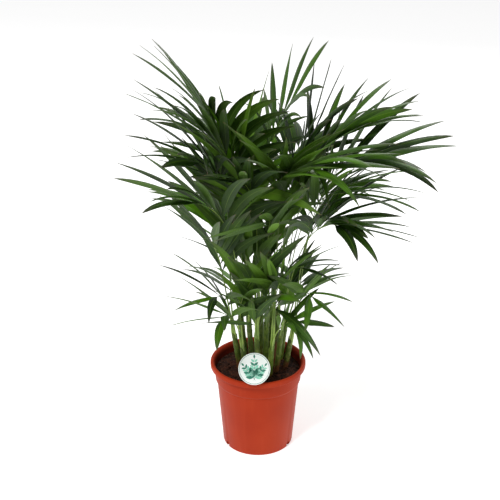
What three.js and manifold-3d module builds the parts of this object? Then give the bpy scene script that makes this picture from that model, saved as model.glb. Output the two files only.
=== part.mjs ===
// An areca palm in a nursery pot: the pot, its soil, a round plant label on a stake, the canes that
// stand in the soil, and the fronds that stand in the canes.
// Millimetres, +Z up. The origin is the centre of the pot's underside. -Y is the front, where the label is.

import * as THREE from 'three';
import { mergeVertices } from 'three/addons/utils/BufferGeometryUtils.js';
import Module from 'manifold-3d';

const wasm = await Module();
wasm.setup();

// ---------------------------------------------------------------- driving dimensions

const POT_HEIGHT = 161;
const POT_RIM_RADIUS = 85;
const POT_BASE_RADIUS = 62.5;
const POT_WALL = 1.5;
const POT_SIDES = 30;
const LIP_HEIGHT = 10;
const LIP_OVERHANG = 6;
const COLLAR_HEIGHT = 24;
const SHOULDER_DROP = 37;
const SHOULDER_STEP = 1.2;
const COLLAR_FLARE = 1.7;
const COLLAR_OVER_SHOULDER = 1.8;
const LIP_LEDGE = 1;
const LIP_ROUND = 1.2;
const LIP_CREST = 3.4;
const FOOT_CHAMFER = 1;
const HUB_DRAFT = 1.5;
const FOOT_HEIGHT = 2.5;
const FOOT_WIDTH = 5;
const HUB_RADIUS = 16;
const NOTCH_COUNT = 3;
const NOTCH_RADIUS = 4.6;
const DRAIN_HOLE_COUNT = 8;
const DRAIN_HOLE_RADIUS = 4;
const DRAIN_HOLE_CIRCLE = 38;
const CUTTER_PAST = 1;
const NOTCH_LENGTH = 14;

const SOIL_BELOW_RIM = 17;
const SOIL_MOUND = 6;
const SOIL_EDGE_DROP = 3;
const FIT = 0.35;

const LABEL_RADIUS = 27.2;
const LABEL_THICKNESS = 0.8;
const LABEL_TILT = 30;
const LABEL_SIDE = -7;
const LABEL_ABOVE_RIM = 2;
const LABEL_BEFORE_RIM = 6.6;
const STAKE_WIDTH = 7;
const STAKE_DEPTH_IN_SOIL = 45;
const STAKE_FOOT_INSIDE_WALL = 12;
const STAKE_POINT = 14;
const STAKE_UP_CARD = 0.55;

const CANE_BASE_RADIUS = 4.8;
const CANE_TOP_RADIUS = 5.3;
const CANE_HEIGHT = 92;
const CANE_DEPTH_IN_SOIL = 32;
const CLUMP_OFF_CENTRE = 5;
const CLUMP_WIDTH = 76;
const CLUMP_DEPTH = 66;
const LEAN_ACROSS = 0.16;
const LEAN_DEEP = 0.16;

const CROWN_HEIGHT = 520;
const CROWN_REACH = 290;
const PETIOLE_RADIUS = 1.6;
const RACHIS_TIP_RADIUS = 0.8;
const SOCKET_DEPTH = 12;
const SOCKET_CIRCLE = 2.3;
const RACHIS_RUN_OUT = 0.3;
const RACHIS_DIP = 0.2;
const LEAFLET_LENGTH = 186;
const LEAFLET_WIDTH = 21;
const LEAFLET_THICKNESS = 0.7;
const LAST_PAIR = 0.985;
const PAIR_STAGGER = 0.012;
const OUTWARD_FALL = 0.35;
const STALK_GAP = 0.6;
const LEAF_GAP = 0.45;

// Canes, each as its place across and deep in the clump (-1 to 1) and its height as a share of CANE_HEIGHT.
const CANES = [
	{ across: -0.86, deep: -0.1, high: 0.84 },
	{ across: -0.62, deep: 0.58, high: 1.08 },
	{ across: -0.6, deep: -0.66, high: 0.72 },
	{ across: -0.36, deep: -0.12, high: 1.2 },
	{ across: -0.12, deep: 0.92, high: 1 },
	{ across: -0.14, deep: -0.72, high: 0.95 },
	{ across: 0, deep: 0.34, high: 1.3 },
	{ across: 0.16, deep: -0.24, high: 1.12 },
	{ across: 0.34, deep: 0.78, high: 0.9 },
	{ across: 0.34, deep: -0.86, high: 0.78 },
	{ across: 0.5, deep: 0.2, high: 1.25 },
	{ across: 0.62, deep: -0.46, high: 1 },
	{ across: 0.8, deep: 0.56, high: 0.86 },
	{ across: 1, deep: -0.04, high: 0.7 },
];

// Fronds. cane: where it grows. across, deep, high: where its rachis ends, as shares of the crown's reach
// and height. arch: 0 ends straight, 1 ends level. start: where the leaflets begin. fan: how widely the
// leaflets spread and how far they fall, 1 being usual. size: of its leaflets.
const FRONDS = [
	{ cane: 1, across: -0.27, deep: -0.05, high: 0.9, arch: 0.3, start: 0.62, pairs: 8, fan: 0.9, size: 1 },
	{ cane: 3, across: -0.32, deep: -0.1, high: 0.86, arch: 0.5, start: 0.64, pairs: 8, fan: 0.9, size: 0.95 },
	{ cane: 0, across: -0.33, deep: -0.2, high: 0.78, arch: 0.6, start: 0.66, pairs: 7, fan: 0.9, size: 0.95 },
	{ cane: 2, across: -0.34, deep: -0.25, high: 0.66, arch: 0.6, start: 0.64, pairs: 7, fan: 0.85, size: 0.92 },
	{ cane: 0, across: -0.25, deep: -0.2, high: 0.5, arch: 0.3, start: 0.6, pairs: 5, fan: 0.6, size: 0.9 },
	{ cane: 3, across: -0.14, deep: -0.02, high: 0.77, arch: 0.1, start: 0.66, pairs: 5, fan: 0.6, size: 1.15 },
	{ cane: 6, across: 0.17, deep: 0.05, high: 0.92, arch: 0.3, start: 0.74, pairs: 5, fan: 1, size: 0.86 },
	{ cane: 10, across: 0.31, deep: 0.1, high: 0.82, arch: 0.3, start: 0.66, pairs: 6, fan: 0.8, size: 0.9 },
	{ cane: 10, across: 0.54, deep: 0, high: 0.85, arch: 0.6, start: 0.68, pairs: 7, fan: 0.85, size: 0.9 },
	{ cane: 13, across: 0.62, deep: -0.1, high: 0.77, arch: 0.75, start: 0.66, pairs: 7, fan: 0.85, size: 0.95 },
	{ cane: 11, across: 0.48, deep: -0.2, high: 0.68, arch: 0.8, start: 0.68, pairs: 6, fan: 0.8, size: 0.9 },
	{ cane: 13, across: 0.42, deep: -0.24, high: 0.6, arch: 0.7, start: 0.68, pairs: 6, fan: 0.8, size: 0.8 },
	{ cane: 11, across: 0.46, deep: -0.32, high: 0.6, arch: 0.9, start: 0.7, pairs: 6, fan: 0.9, size: 0.75 },
	{ cane: 7, across: 0.12, deep: -0.34, high: 0.76, arch: 0.5, start: 0.62, pairs: 7, fan: 0.65, size: 0.95 },
	{ cane: 9, across: 0.28, deep: -0.4, high: 0.8, arch: 0.8, start: 0.68, pairs: 6, fan: 0.8, size: 0.85 },
	{ cane: 5, across: -0.08, deep: -0.33, high: 0.74, arch: 0.5, start: 0.64, pairs: 6, fan: 0.7, size: 0.9 },
	{ cane: 7, across: 0.06, deep: -0.33, high: 0.62, arch: 0.4, start: 0.6, pairs: 6, fan: 0.55, size: 0.9 },
	{ cane: 3, across: -0.19, deep: -0.13, high: 0.66, arch: 0.2, start: 0.56, pairs: 6, fan: 0.6, size: 0.85 },
	{ cane: 12, across: 0.36, deep: 0.06, high: 0.62, arch: 0.6, start: 0.66, pairs: 6, fan: 0.9, size: 0.85 },
	{ cane: 4, across: -0.11, deep: 0.44, high: 0.72, arch: 0.6, start: 0.66, pairs: 6, fan: 1, size: 0.9 },
	{ cane: 8, across: 0.25, deep: 0.5, high: 0.7, arch: 0.7, start: 0.68, pairs: 6, fan: 1, size: 0.9 },
	{ cane: 4, across: -0.24, deep: 0.46, high: 0.62, arch: 0.6, start: 0.66, pairs: 6, fan: 0.9, size: 0.9 },
	{ cane: 12, across: 0.42, deep: 0.42, high: 0.54, arch: 0.7, start: 0.66, pairs: 6, fan: 1, size: 0.85 },
	{ cane: 1, across: -0.26, deep: 0.4, high: 0.48, arch: 0.5, start: 0.64, pairs: 6, fan: 0.8, size: 0.85 },
	{ cane: 8, across: 0.04, deep: 0.46, high: 0.46, arch: 0.6, start: 0.6, pairs: 5, fan: 1, size: 0.8 },
	{ cane: 9, across: 0.24, deep: -0.16, high: 0.42, arch: 0.9, start: 0.56, pairs: 5, fan: 0.9, size: 0.55 },
	{ cane: 13, across: 0.3, deep: -0.2, high: 0.33, arch: 0.95, start: 0.5, pairs: 5, fan: 0.8, size: 0.58 },
	{ cane: 9, across: 0.22, deep: -0.18, high: 0.23, arch: 1, start: 0.45, pairs: 4, fan: 0.8, size: 0.45 },
	{ cane: 0, across: -0.24, deep: -0.14, high: 0.31, arch: 0.6, start: 0.5, pairs: 4, fan: 0.9, size: 0.6 },
	{ cane: 2, across: -0.2, deep: -0.23, high: 0.26, arch: 0.9, start: 0.45, pairs: 4, fan: 0.9, size: 0.6 },
	{ cane: 2, across: -0.04, deep: -0.25, high: 0.4, arch: 0.2, start: 0.48, pairs: 5, fan: 0.5, size: 0.75 },
	{ cane: 5, across: 0.1, deep: -0.22, high: 0.38, arch: 0.2, start: 0.48, pairs: 5, fan: 0.5, size: 0.7 },
	{ cane: 1, across: -0.16, deep: 0.32, high: 0.24, arch: 0.7, start: 0.5, pairs: 4, fan: 1, size: 0.6 },
	{ cane: 12, across: 0.26, deep: 0.34, high: 0.24, arch: 0.8, start: 0.5, pairs: 4, fan: 1, size: 0.6 },
	{ cane: 6, across: -0.08, deep: -0.08, high: 0.45, arch: 0.1, start: 0.4, pairs: 4, fan: 0.4, size: 0.9 },
	{ cane: 6, across: 0.03, deep: -0.1, high: 0.5, arch: 0.1, start: 0.45, pairs: 4, fan: 0.4, size: 0.95 },
	{ cane: 4, across: -0.1, deep: 0.08, high: 0.4, arch: 0.2, start: 0.4, pairs: 4, fan: 0.45, size: 0.8 },
	{ cane: 7, across: 0.14, deep: -0.06, high: 0.28, arch: 0.1, start: 0.36, pairs: 4, fan: 0.6, size: 0.7 },
	{ cane: 5, across: -0.02, deep: -0.18, high: 0.27, arch: 0.1, start: 0.36, pairs: 4, fan: 0.6, size: 0.65 },
];

// Leaflets change along a rachis from its first pair to its last, and each differs a little from the rule.
// Degrees, apart from the length and the width, which are shares.
const TRAITS = {
	spread: { first: 46, last: 20, differs: 7 },
	lift: { first: 36, last: 16, differs: 14 },
	fall: { first: 54, last: 40, differs: 18 },
	twist: { first: 0, last: 0, differs: 30 },
	length: { first: 0.9, last: 0.8, differs: 0.1 },
	width: { first: 1, last: 1, differs: 0.14 },
};
const MIDDLE_PAIRS_LONGER = 0.2;

// ---------------------------------------------------------------- materials

function matte(color, roughness) {
	return new THREE.MeshStandardMaterial({ color, roughness, metalness: 0 });
}

const POT_COLOUR = '#bc4126';
const SOIL_COLOUR = '#2e1a12';
const LABEL_COLOUR = '#eef3ee';
const CANE_COLOUR = '#6f9440';
const FROND_COLOUR = '#2f5f1c';

// ---------------------------------------------------------------- solids

// The closed solid of a three.js geometry whose shared vertices are merged.
function solidOf(geometry) {
	geometry.deleteAttribute('normal');
	geometry.deleteAttribute('uv');
	const merged = mergeVertices(geometry, 1e-4);
	const vertProperties = new Float32Array(merged.attributes.position.array);
	const triVerts = new Uint32Array(merged.index.array);
	return new wasm.Manifold(new wasm.Mesh({ numProp: 3, vertProperties, triVerts }));
}

// A named mesh of a solid, its own frame at `at`.
function meshOf(name, solid, at, material) {
	const mesh = solid.translate([-at.x, -at.y, -at.z]).getMesh();
	const geometry = new THREE.BufferGeometry();
	geometry.setAttribute('position', new THREE.BufferAttribute(mesh.vertProperties, 3));
	geometry.setIndex(new THREE.BufferAttribute(mesh.triVerts, 1));
	geometry.computeVertexNormals();
	const part = new THREE.Mesh(geometry, material);
	part.name = name;
	part.position.copy(at);
	return part;
}

// Moves every vertex of a geometry that stands along Y from -0.5 to 0.5 to place(s, x, z), s being 0 to 1.
function bend(geometry, place) {
	const position = geometry.attributes.position;
	for (let i = 0; i < position.count; i += 1) {
		const point = place(position.getY(i) + 0.5, position.getX(i), position.getZ(i));
		position.setXYZ(i, point.x, point.y, point.z);
	}
	return geometry;
}

function latheSolid(outline, segments) {
	const geometry = new THREE.LatheGeometry(outline.map(([r, z]) => new THREE.Vector2(r, z)), segments);
	return solidOf(geometry.rotateX(Math.PI / 2));
}

function twoDigits(number) {
	return String(number).padStart(2, '0');
}

// A solid without the hollows that are sealed where its parts touch.
function filled(solid) {
	return wasm.Manifold.union(solid.decompose().filter((body) => body.volume() > 0));
}

// Solids in place so far, each with its box, and the test that a new solid keeps its distance to them all.
const inPlace = [];

function keep(solid, owner) {
	inPlace.push({ solid, owner, box: solid.boundingBox() });
}

function boxesNear(a, b, gap) {
	return [0, 1, 2].every((k) => a.min[k] - gap < b.max[k] && b.min[k] - gap < a.max[k]);
}

function isClear(solid, gap, counts) {
	const box = solid.boundingBox();
	const near = inPlace.filter((other) => counts(other) && boxesNear(box, other.box, gap));
	return near.every((other) => solid.minGap(other.solid, gap) >= gap);
}

// The first of some ways of making a solid that is clear of the solids that count.
function firstClear(ways, make, gap, counts) {
	return ways.find((way) => isClear(make(way), gap, counts));
}

// ---------------------------------------------------------------- pot

// The pot's wall flares from the foot, steps out at the shoulder, and ends in a collar under the rolled lip.
const lipBottom = POT_HEIGHT - LIP_HEIGHT;
const collarBottom = lipBottom - COLLAR_HEIGHT;
const shoulder = POT_HEIGHT - SHOULDER_DROP;
const collarTopRadius = POT_RIM_RADIUS - LIP_OVERHANG - LIP_LEDGE;
const collarRadius = collarTopRadius - COLLAR_FLARE;
const shoulderRadius = collarRadius - COLLAR_OVER_SHOULDER;
const bodyTop = shoulder - SHOULDER_STEP;
const bodyTopRadius = shoulderRadius - SHOULDER_STEP;
const floorTop = FOOT_HEIGHT + POT_WALL;

function potInnerRadius(z) {
	const stations = [
		[floorTop, POT_BASE_RADIUS - POT_WALL],
		[bodyTop, bodyTopRadius - POT_WALL],
		[collarBottom, collarRadius - POT_WALL],
		[lipBottom, collarTopRadius - POT_WALL],
		[POT_HEIGHT, collarTopRadius - POT_WALL + LIP_LEDGE],
	];
	const next = Math.max(1, stations.findIndex(([height]) => height >= z));
	const [z0, r0] = stations[next - 1];
	const [z1, r1] = stations[next];
	return r0 + ((r1 - r0) * (z - z0)) / (z1 - z0);
}

const potOutline = [
	[0, 0],
	[HUB_RADIUS, 0],
	[HUB_RADIUS + HUB_DRAFT, FOOT_HEIGHT],
	[POT_BASE_RADIUS - FOOT_WIDTH, FOOT_HEIGHT],
	[POT_BASE_RADIUS - FOOT_WIDTH + FOOT_CHAMFER, 0],
	[POT_BASE_RADIUS - FOOT_CHAMFER, 0],
	[POT_BASE_RADIUS, FOOT_CHAMFER],
	[bodyTopRadius, bodyTop],
	[shoulderRadius, shoulder],
	[collarRadius, collarBottom],
	[collarTopRadius, lipBottom - LIP_LEDGE],
	[POT_RIM_RADIUS - LIP_ROUND, lipBottom],
	[POT_RIM_RADIUS, lipBottom + LIP_ROUND],
	[POT_RIM_RADIUS, POT_HEIGHT - 2 * LIP_ROUND],
	[POT_RIM_RADIUS - LIP_ROUND, POT_HEIGHT - LIP_ROUND / 2],
	[POT_RIM_RADIUS - LIP_CREST, POT_HEIGHT],
	[POT_RIM_RADIUS - LIP_CREST - LIP_ROUND, POT_HEIGHT - LIP_ROUND / 2],
	[potInnerRadius(POT_HEIGHT), POT_HEIGHT - LIP_CREST],
	[potInnerRadius(lipBottom), lipBottom],
	[potInnerRadius(collarBottom), collarBottom],
	[potInnerRadius(bodyTop), bodyTop],
	[potInnerRadius(floorTop), floorTop],
	[HUB_RADIUS, floorTop],
	[HUB_RADIUS, POT_WALL],
	[0, POT_WALL],
];

function uprightCylinder(radius, bottom, top, x, y) {
	const geometry = new THREE.CylinderGeometry(radius, radius, top - bottom, 12);
	geometry.rotateX(Math.PI / 2);
	return solidOf(geometry.translate(x, y, (bottom + top) / 2));
}

// Round the foot are notches through the corner of the wall, one of them at the back. Further in are the
// round drain holes.
function potCutters() {
	const cutters = [];
	for (let i = 0; i < NOTCH_COUNT; i += 1) {
		const notch = new THREE.CylinderGeometry(NOTCH_RADIUS, NOTCH_RADIUS, NOTCH_LENGTH, 10);
		notch.rotateZ(Math.PI / 2);
		notch.translate(POT_BASE_RADIUS, 0, floorTop);
		cutters.push(solidOf(notch.rotateZ(Math.PI / 2 + (2 * Math.PI * i) / NOTCH_COUNT)));
	}
	for (let i = 0; i < DRAIN_HOLE_COUNT; i += 1) {
		const turn = (2 * Math.PI * (i + 0.5)) / DRAIN_HOLE_COUNT;
		const x = DRAIN_HOLE_CIRCLE * Math.cos(turn);
		const y = DRAIN_HOLE_CIRCLE * Math.sin(turn);
		cutters.push(uprightCylinder(DRAIN_HOLE_RADIUS, -CUTTER_PAST, floorTop + CUTTER_PAST, x, y));
	}
	return cutters;
}

const potBlank = latheSolid(potOutline, POT_SIDES);
const potSolid = potCutters().reduce((pot, cutter) => pot.subtract(cutter), potBlank);
keep(potSolid);

// ---------------------------------------------------------------- canes

const soilTop = POT_HEIGHT - SOIL_BELOW_RIM;

function caneFoot(cane) {
	const x = CLUMP_OFF_CENTRE + (cane.across * CLUMP_WIDTH) / 2;
	const y = (cane.deep * CLUMP_DEPTH) / 2;
	return new THREE.Vector3(x, y, soilTop - CANE_DEPTH_IN_SOIL);
}

// A cane leans outwards, away from the middle of the clump, the more the further out it stands.
function caneDirection(cane) {
	return new THREE.Vector3(cane.across * LEAN_ACROSS, cane.deep * LEAN_DEEP, 1).normalize();
}

function caneLength(cane) {
	return CANE_DEPTH_IN_SOIL + CANE_HEIGHT * cane.high;
}

function caneMouth(cane) {
	return caneFoot(cane).addScaledVector(caneDirection(cane), caneLength(cane));
}

function caneSolid(cane, grown) {
	const length = caneLength(cane);
	const top = CANE_TOP_RADIUS + grown;
	const bottom = CANE_BASE_RADIUS + grown;
	const geometry = new THREE.CylinderGeometry(top, bottom, length + 2 * grown, 10, 1);
	const up = new THREE.Vector3(0, 1, 0);
	geometry.applyQuaternion(new THREE.Quaternion().setFromUnitVectors(up, caneDirection(cane)));
	const middle = caneFoot(cane).addScaledVector(caneDirection(cane), length / 2);
	return solidOf(geometry.translate(middle.x, middle.y, middle.z));
}

const caneSolids = CANES.map((cane) => caneSolid(cane, 0));
caneSolids.forEach((solid) => keep(solid));

// ---------------------------------------------------------------- label

// A round card that leans back over the rim, on a stake that goes down behind the rim into the soil.
const labelTilt = THREE.MathUtils.degToRad(LABEL_TILT);
const labelUp = new THREE.Vector3(0, Math.sin(labelTilt), Math.cos(labelTilt));
const labelFoot = new THREE.Vector3(
	LABEL_SIDE,
	-POT_RIM_RADIUS - LABEL_BEFORE_RIM,
	POT_HEIGHT + LABEL_ABOVE_RIM,
);
const labelCentre = labelFoot.clone().addScaledVector(labelUp, LABEL_RADIUS);
const stakeTop = labelCentre.clone().addScaledVector(labelUp, LABEL_RADIUS * STAKE_UP_CARD);
const stakeFoot = new THREE.Vector3(
	LABEL_SIDE,
	-potInnerRadius(soilTop) + STAKE_FOOT_INSIDE_WALL,
	soilTop - STAKE_DEPTH_IN_SOIL,
);

function stakeSolid(grown) {
	const shape = new THREE.Shape();
	const half = STAKE_WIDTH / 2 + grown;
	const thick = LABEL_THICKNESS / 2 + grown;
	const length = stakeTop.distanceTo(stakeFoot);
	shape.moveTo(-half, length);
	shape.lineTo(-half, STAKE_POINT);
	shape.lineTo(0, -grown / Math.sin(Math.atan(STAKE_WIDTH / 2 / STAKE_POINT)));
	shape.lineTo(half, STAKE_POINT);
	shape.lineTo(half, length);
	const geometry = new THREE.ExtrudeGeometry(shape, { depth: 2 * thick, bevelEnabled: false, steps: 1 });
	geometry.translate(0, 0, -thick);
	const along = stakeTop.clone().sub(stakeFoot).normalize();
	geometry.rotateX(Math.atan2(along.z, along.y));
	return solidOf(geometry.translate(stakeFoot.x, stakeFoot.y, stakeFoot.z));
}

function labelDisc() {
	const geometry = new THREE.CylinderGeometry(LABEL_RADIUS, LABEL_RADIUS, LABEL_THICKNESS, 40);
	geometry.rotateX(-labelTilt);
	return solidOf(geometry.translate(labelCentre.x, labelCentre.y, labelCentre.z));
}

const labelSolid = labelDisc().add(stakeSolid(0));
keep(labelSolid);

// ---------------------------------------------------------------- soil

// The soil fills the pot to just inside its wall, with a low mound around the canes.
function soilOutline() {
	const wallAt = (z) => potInnerRadius(z) - FIT;
	const bottom = floorTop + FIT;
	const edge = wallAt(soilTop);
	return [
		[0, bottom],
		[wallAt(bottom), bottom],
		[wallAt(bodyTop), bodyTop],
		[wallAt(collarBottom), collarBottom],
		[wallAt(soilTop - SOIL_EDGE_DROP), soilTop - SOIL_EDGE_DROP],
		...[0.9, 0.7, 0.4, 0.2].map((share) => [edge * share, soilTop + SOIL_MOUND * (1 - share * share)]),
		[0, soilTop + SOIL_MOUND],
	];
}

const soilCutters = CANES.map((cane) => caneSolid(cane, FIT)).concat([stakeSolid(FIT)]);
const soilBlank = latheSolid(soilOutline(), POT_SIDES);
const soilSolid = soilCutters.reduce((soil, cutter) => soil.subtract(cutter), soilBlank);
keep(soilSolid);

// ---------------------------------------------------------------- fronds

// A steady spread of values from -1 to 1 that gives each leaf its own small differences: steps of the
// golden ratio from frond to frond, and of the plastic number's inverse along each frond.
const ROW_STEP = 0.618034;
const COLUMN_STEP = 0.754878;

function vary(row, column) {
	return 2 * ((row * ROW_STEP + column * COLUMN_STEP) % 1) - 1;
}

const STALK_STEPS = 8;
const STALK_SIDES = 3;

function frondEnd(frond) {
	const high = soilTop + frond.high * CROWN_HEIGHT;
	return new THREE.Vector3(frond.across * CROWN_REACH, frond.deep * CROWN_REACH, high);
}

// The fronds that share a cane stand round its axis, each in its own socket.
function socketFloor(frond) {
	const cane = CANES[frond.cane];
	const sharing = FRONDS.filter((other) => other.cane === frond.cane);
	const mouth = caneMouth(cane);
	const heading = Math.atan2(frondEnd(sharing[0]).y - mouth.y, frondEnd(sharing[0]).x - mouth.x);
	const turn = heading + Math.PI * (0.5 + (2 * sharing.indexOf(frond)) / sharing.length);
	const out = sharing.length > 1 ? SOCKET_CIRCLE : 0;
	const floor = caneMouth(cane).addScaledVector(caneDirection(cane), -SOCKET_DEPTH);
	return floor.add(new THREE.Vector3(Math.cos(turn) * out, Math.sin(turn) * out, 0));
}

// A stalk: the petiole and the rachis in one line. It leaves its socket along the cane and arches to its
// end, with its bow's swing bending the middle sideways.
function stalkLine(frond, bow) {
	const cane = CANES[frond.cane];
	const along = caneDirection(cane);
	const floor = socketFloor(frond);
	const mouth = floor.clone().addScaledVector(along, SOCKET_DEPTH);
	const end = frondEnd(frond);
	const chord = end.clone().sub(mouth);
	const reach = chord.length();
	const heading = new THREE.Vector3(chord.x, chord.y, 0).normalize();
	const side = new THREE.Vector3(heading.y, -heading.x, 0);
	const level = heading.clone().setZ(-RACHIS_DIP);
	const finish = chord.clone().normalize().lerp(level, frond.arch).normalize();
	const first = mouth.clone().addScaledVector(along, reach * bow.rise).addScaledVector(side, bow.swing);
	const second = end.clone().addScaledVector(finish, -reach * RACHIS_RUN_OUT).addScaledVector(side, bow.swing);
	const curve = new THREE.CubicBezierCurve3(mouth, first, second, end);
	return { floor, mouth, curve, side };
}

// The place, direction, side and upper face of a stalk at u, from 0 at the cane's mouth to 1 at the end.
// Its place is on the straight runs between the stations that its solid is made of.
function stalkFrame(line, u) {
	const runs = STALK_STEPS - 1;
	const run = Math.min(runs - 1, Math.floor(u * runs));
	const from = line.curve.getPoint(run / runs);
	const to = line.curve.getPoint((run + 1) / runs);
	const tangent = line.curve.getTangent(u);
	const normal = line.side.clone().cross(tangent).normalize();
	const side = tangent.clone().cross(normal);
	return { point: from.lerp(to, u * runs - run), tangent, normal, side };
}

function stalkSolid(line, grown) {
	const skin = grown / Math.cos(Math.PI / STALK_SIDES);
	const tip = RACHIS_TIP_RADIUS + skin;
	const base = PETIOLE_RADIUS + skin;
	const geometry = new THREE.CylinderGeometry(tip, base, 1, STALK_SIDES, STALK_STEPS);
	return solidOf(bend(geometry, (s, x, z) => {
		const u = Math.max(0, (s * STALK_STEPS - 1) / (STALK_STEPS - 1));
		const frame = stalkFrame(line, u);
		const centre = s < 0.5 / STALK_STEPS ? line.floor : frame.point;
		return centre.clone().addScaledVector(frame.side, x).addScaledVector(frame.normal, z);
	}));
}

// A leaflet's width at s, from 0 at the rachis to 1 at the tip, as a share of its greatest width.
function bladeWidth(s) {
	return Math.min(1, 0.05 + 3.4 * s) * Math.pow(Math.max(0, 1 - s * s * s), 0.8);
}

// Leaflets leave the rachis in pairs: nearly across it low down, nearly along it at the end.
function leafletPlan(frond, row, pair, hand) {
	const u = pair / (frond.pairs - 1);
	const names = Object.keys(TRAITS);
	const column = names.length * (2 * pair + (hand > 0 ? 1 : 0));
	const trait = (name) => {
		const { first, last, differs } = TRAITS[name];
		return first + (last - first) * u + differs * vary(row, column + names.indexOf(name));
	};
	const longer = trait('length') + MIDDLE_PAIRS_LONGER * Math.sin(Math.PI * u);
	return {
		hand,
		at: frond.start + (LAST_PAIR - frond.start) * u - (hand > 0 ? PAIR_STAGGER : 0),
		spread: frond.fan * trait('spread'),
		lift: trait('lift'),
		twist: trait('twist') * hand,
		fall: THREE.MathUtils.degToRad(trait('fall') * frond.fan),
		length: LEAFLET_LENGTH * frond.size * longer,
		width: LEAFLET_WIDTH * Math.sqrt(frond.size) * trait('width'),
	};
}

// A leaflet's place: its root, its direction there, the way that it falls and the direction across it.
// It falls mostly downwards, and a little outwards, so that one that points straight up arches too.
function leafletShape(line, plan, dodge) {
	const frame = stalkFrame(line, plan.at);
	const spread = THREE.MathUtils.degToRad(plan.spread + dodge.spread);
	const lift = THREE.MathUtils.degToRad(plan.lift + dodge.lift);
	const outward = frame.side.clone().multiplyScalar(plan.hand * Math.cos(lift));
	outward.addScaledVector(frame.normal, Math.sin(lift));
	const along = frame.tangent.clone().multiplyScalar(Math.cos(spread));
	along.addScaledVector(outward, Math.sin(spread));
	const down = frame.side.clone().multiplyScalar(plan.hand * OUTWARD_FALL).add(new THREE.Vector3(0, 0, -1));
	const falling = down.addScaledVector(along, -down.dot(along)).normalize();
	const twist = THREE.MathUtils.degToRad(plan.twist);
	const across = along.clone().cross(frame.normal).normalize().applyAxisAngle(along, twist);
	const { fall, width } = plan;
	return { root: frame.point, along, falling, across, fall, width, length: plan.length * dodge.reach };
}

// The midrib is an arc that turns by the leaflet's fall from root to tip.
function midribPoint(shape, s) {
	const radius = shape.length / shape.fall;
	const point = shape.root.clone().addScaledVector(shape.along, radius * Math.sin(shape.fall * s));
	return point.addScaledVector(shape.falling, radius * (1 - Math.cos(shape.fall * s)));
}

function midribDirection(shape, s) {
	const direction = shape.along.clone().multiplyScalar(Math.cos(shape.fall * s));
	return direction.addScaledVector(shape.falling, Math.sin(shape.fall * s));
}

// A leaflet is a blade of three faces, pointed at both ends, with its ridge along the upper side.
function leafletSolid(shape) {
	const geometry = new THREE.SphereGeometry(0.5, 3, 3, Math.PI / 2);
	return solidOf(bend(geometry, (s, x, z) => {
		const up = shape.across.clone().cross(midribDirection(shape, s)).normalize();
		const round = Math.hypot(x, z) || 1;
		const half = (shape.width / 2) * bladeWidth(s) / Math.sin(Math.PI / 3);
		const point = midribPoint(shape, s).addScaledVector(shape.across, (x / round) * half);
		return point.addScaledVector(up, Math.hypot(x, z) > 1e-6 ? (z / round) * LEAFLET_THICKNESS : 0);
	}));
}

// The ways that a leaflet may turn to pass its neighbours, the least first.
const TURNS = [[1, 0], [-1, 0], [0, 1], [0, -1], [1, 1], [-1, -1], [1, -1], [-1, 1]];
const SPREAD_TO_LIFT = 0.7;
const DODGES = [{ lift: 0, spread: 0, reach: 1 }];
for (const reach of [1, 0.85, 0.7, 0.5, 0.3, 0.18]) {
	for (const turn of [7, 14, 22, 31, 42, 56, 72]) {
		for (const [lift, spread] of TURNS) {
			DODGES.push({ lift: lift * turn, spread: spread * turn * SPREAD_TO_LIFT, reach });
		}
	}
}

// The ways that a stalk may bow sideways, or rise more or less steeply, to pass its neighbours.
const BOWS = [];
for (const rise of [0.42, 0.36, 0.48, 0.3, 0.54]) {
	BOWS.push({ rise, swing: 0 });
	for (const swing of [7, 14, 22, 30, 40, 52, 66, 82]) {
		BOWS.push({ rise, swing }, { rise, swing: -swing });
	}
}

// All the stalks come before any leaflet, so that the leaflets pass them too.
function placeStalk(frond) {
	const make = (bow) => stalkSolid(stalkLine(frond, bow), 0);
	const isNotSeat = (other) => other.solid !== caneSolids[frond.cane];
	const bow = firstClear(BOWS, make, STALK_GAP, isNotSeat);
	const line = stalkLine(frond, bow);
	const solid = stalkSolid(line, 0);
	keep(solid, frond);
	return { line, solid };
}

const stalks = FRONDS.map(placeStalk);

// A leaflet keeps clear of everything, or where its own frond is crowded, of everything else.
function placeLeaflet(frond, line, solid, plan) {
	const make = (dodge) => leafletSolid(leafletShape(line, plan, dodge));
	const isNotStalk = (other) => other.solid !== solid;
	const isNotOwn = (other) => other.owner !== frond;
	const free = firstClear(DODGES, make, LEAF_GAP, isNotStalk);
	const blade = make(free ?? firstClear(DODGES, make, LEAF_GAP, isNotOwn));
	keep(blade, frond);
	return blade;
}

function frondSolid(frond, row) {
	const { line, solid } = stalks[row];
	let whole = solid;
	for (let pair = 0; pair < frond.pairs; pair += 1) {
		for (const hand of [-1, 1]) {
			const blade = placeLeaflet(frond, line, solid, leafletPlan(frond, row, pair, hand));
			whole = whole.add(blade);
		}
	}
	return filled(whole);
}

const frondSolids = FRONDS.map(frondSolid);

// Each cane is cut out around the feet of its own stalks.
function socketedCane(cane, index) {
	const own = FRONDS.map((frond, row) => row).filter((row) => FRONDS[row].cane === index);
	const drop = caneDirection(cane).multiplyScalar(-FIT);
	return own.reduce((solid, row) => {
		const cutter = stalkSolid(stalks[row].line, FIT).translate([drop.x, drop.y, drop.z]);
		return solid.subtract(cutter);
	}, caneSolids[index]);
}

// ---------------------------------------------------------------- the whole plant

const origin = new THREE.Vector3(0, 0, 0);
const pottedPalm = new THREE.Group();
pottedPalm.add(meshOf('pot', potSolid, origin, matte(POT_COLOUR, 0.45)));
pottedPalm.add(meshOf('soil', soilSolid, origin, matte(SOIL_COLOUR, 0.95)));
pottedPalm.add(meshOf('label', labelSolid, labelCentre, matte(LABEL_COLOUR, 0.5)));

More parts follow.
